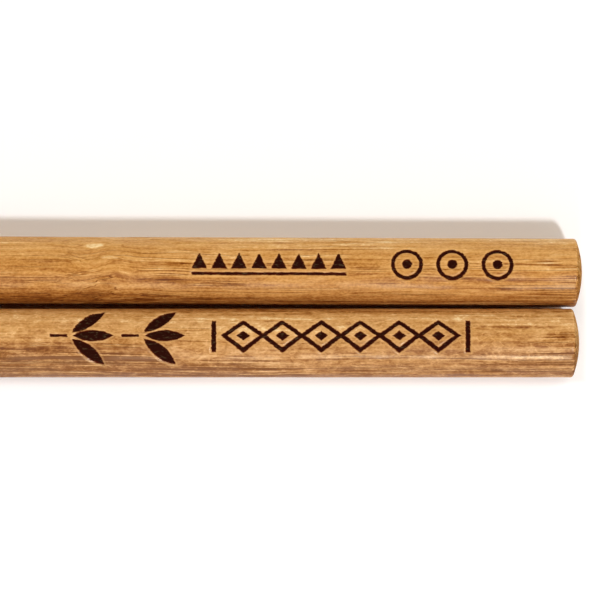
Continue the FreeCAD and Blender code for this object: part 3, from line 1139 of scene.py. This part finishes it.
@dataclass(frozen=True)
class Table:
    """The table top under the sticks, which isn't part of them."""

    half_width: float = 1.6
    finish: TableFinish = TableFinish()

    def build(self) -> None:
        """Builds the table top as one flat square at height zero."""
        corners = np.array([(-1, -1, 0), (1, -1, 0), (1, 1, 0), (-1, 1, 0)])
        mesh = bpy.data.meshes.new("table_top")
        mesh.from_pydata(corners * self.half_width, [], [(0, 1, 2, 3)])
        mesh.materials.append(self.finish.material())
        table = bpy.data.objects.new("table_top", mesh)
        bpy.context.scene.collection.objects.link(table)


@dataclass(frozen=True)
class SunLamp:
    """A far lamp, given by the direction to it. A sheen lamp only shows in glossy surfaces."""

    name: str
    towards: Triple
    strength: float
    spread: float
    colour: Triple = (1.0, 1.0, 1.0)
    sheen_only: bool = False

    def build(self) -> None:
        """Makes the lamp, turned so that its light comes from its direction."""
        light = bpy.data.lights.new(self.name, "SUN")
        light.energy = self.strength
        light.angle = math.radians(self.spread)
        light.color = self.colour
        lamp = bpy.data.objects.new(self.name, light)
        direction = Vector(self.towards).normalized()
        lamp.rotation_euler = direction.to_track_quat("Z", "Y").to_euler()
        lamp.location = direction
        lamp.visible_diffuse = not self.sheen_only
        bpy.context.scene.collection.objects.link(lamp)


@dataclass(frozen=True)
class Studio:
    """Plain soft light from the front and the back, with a dark slot between, and the lamps.

    The camera looks in through the slot, which runs overhead in line with the sticks.
    """

    ambient: float = 0.84
    tint: Colour = (1.0, 0.972, 0.872, 1.0)
    across_slot: Triple = (0.0, 0.972, 0.235)
    slot_edges: Pair = (7.0, 20.0)
    slot_tint: Colour = (0.14, 0.01, 0.0, 1.0)
    lamps: tuple[SunLamp, ...] = (
        SunLamp("key_lamp", (0.335, -0.672, 1.0), 1.88, 5.5, (0.94, 0.96, 1.0)),
        SunLamp("back_lamp", (0.45, 0.95, 0.90), 0.14, 12.0),
        SunLamp("window_lamp", (0.085, -0.95, 0.50), 1.5, 6.0, (1.0, 0.82, 0.56), True),
    )

    def soft_colour(self, shader: Shader) -> Socket:
        """Works out the soft light's colour from its direction.

        Args:
            shader: The world's nodes.

        Returns:
            Socket of the colour, which is almost black in the slot.
        """
        direction = shader.node("ShaderNodeTexCoord").outputs["Generated"]
        aside = shader.vector_math("DOT_PRODUCT", direction, self.across_slot)
        edges = Rise(*(math.sin(math.radians(edge)) for edge in self.slot_edges))
        clear = shader.remap(shader.math("ABSOLUTE", aside.outputs["Value"]), edges)
        return shader.blend(clear, self.slot_tint, self.tint)

    def build(self) -> None:
        """Makes the lamps and a world that lights plainly and is seen as white."""
        world = bpy.data.worlds.new("studio_world")
        bpy.context.scene.world = world
        shader = Shader(world)
        lighting, shown = (
            shader.node("ShaderNodeBackground", {"Color": colour, "Strength": strength})
            for colour, strength in ((self.soft_colour(shader), self.ambient), (WHITE, 1.0)))
        surface = shader.node("ShaderNodeMixShader", {
            0: shader.seen(), 1: lighting.outputs[0], 2: shown.outputs[0]})
        shader.finish(surface.outputs[0], "World")
        for lamp in self.lamps:
            lamp.build()


@dataclass(frozen=True)
class Camera:
    """The camera, high in front of the handle ends."""

    target: Triple = (84.47 * MM, 0.824 * MM, 3.75 * MM)
    elevation: float = 76.4
    distance: float = 340 * MM
    lens: float = 187.1
    sensor: float = 36.0
    roll: float = 0.12
    nearest: float = 10 * MM
    furthest: float = 20.0

    def build(self) -> None:
        """Makes the camera and gives it to the scene."""
        data = bpy.data.cameras.new("camera")
        data.lens = self.lens
        data.sensor_width = self.sensor
        data.clip_start = self.nearest
        data.clip_end = self.furthest
        camera = bpy.data.objects.new("camera", data)
        rise = math.radians(self.elevation)
        back = Vector((0.0, -math.cos(rise), math.sin(rise)))
        camera.rotation_mode = "QUATERNION"
        level = (-back).to_track_quat("-Z", "Y")
        camera.rotation_quaternion = level @ Quaternion((0, 0, 1), math.radians(self.roll))
        camera.location = Vector(self.target) + back * self.distance
        bpy.context.scene.collection.objects.link(camera)
        bpy.context.scene.camera = camera


def main() -> None:
    """Builds the table, the sticks, the light and the camera, in that order."""
    logging.basicConfig(level=logging.INFO, format="%(name)s: %(message)s")
    bpy.context.scene.view_settings.view_transform = "Standard"
    Table().build()
    sticks = (
        Chopstick(Place.BACK, (RingRow(), TriangleRow()),
                  BambooFinish("back_bamboo", seed=(3.0, 11.0, 5.0), rind=(-0.87, 0.3),
                               rind_lines=0.06),
                  GrowthNode()),
        Chopstick(Place.FRONT, (LozengeChain(), LeafSprigs()),
                  BambooFinish("front_bamboo", seed=(71.0, 29.0, 43.0), rind=(-0.9, -0.4),
                               rind_lines=0.22,
                               dark=srgb(152, 94, 38), body=srgb(198, 144, 80),
                               light=srgb(224, 173, 110),
                               lines=0.40, pale_lines_and_glints=0.24, bundles=0.40,
                               mottle=0.65, peel=0.12, painted_sheen=0.55, shaded_flank=(0.0, 0.60),
                               shaded_flank_tone=0.11, far_shaded_flank_tone=0.30, far_shade_skew=0.35,
                               gap_shade_tone=0.20, coat_roughness=0.22),
                  GrowthNode(along=92 * MM, strength=0.7)),
    )
    for stick in sticks:
        piece = stick.build()
        LOG.info("%s: %d faces", piece.name, len(piece.data.polygons))
    Studio().build()
    Camera().build()


if __name__ == "__main__":
    main()
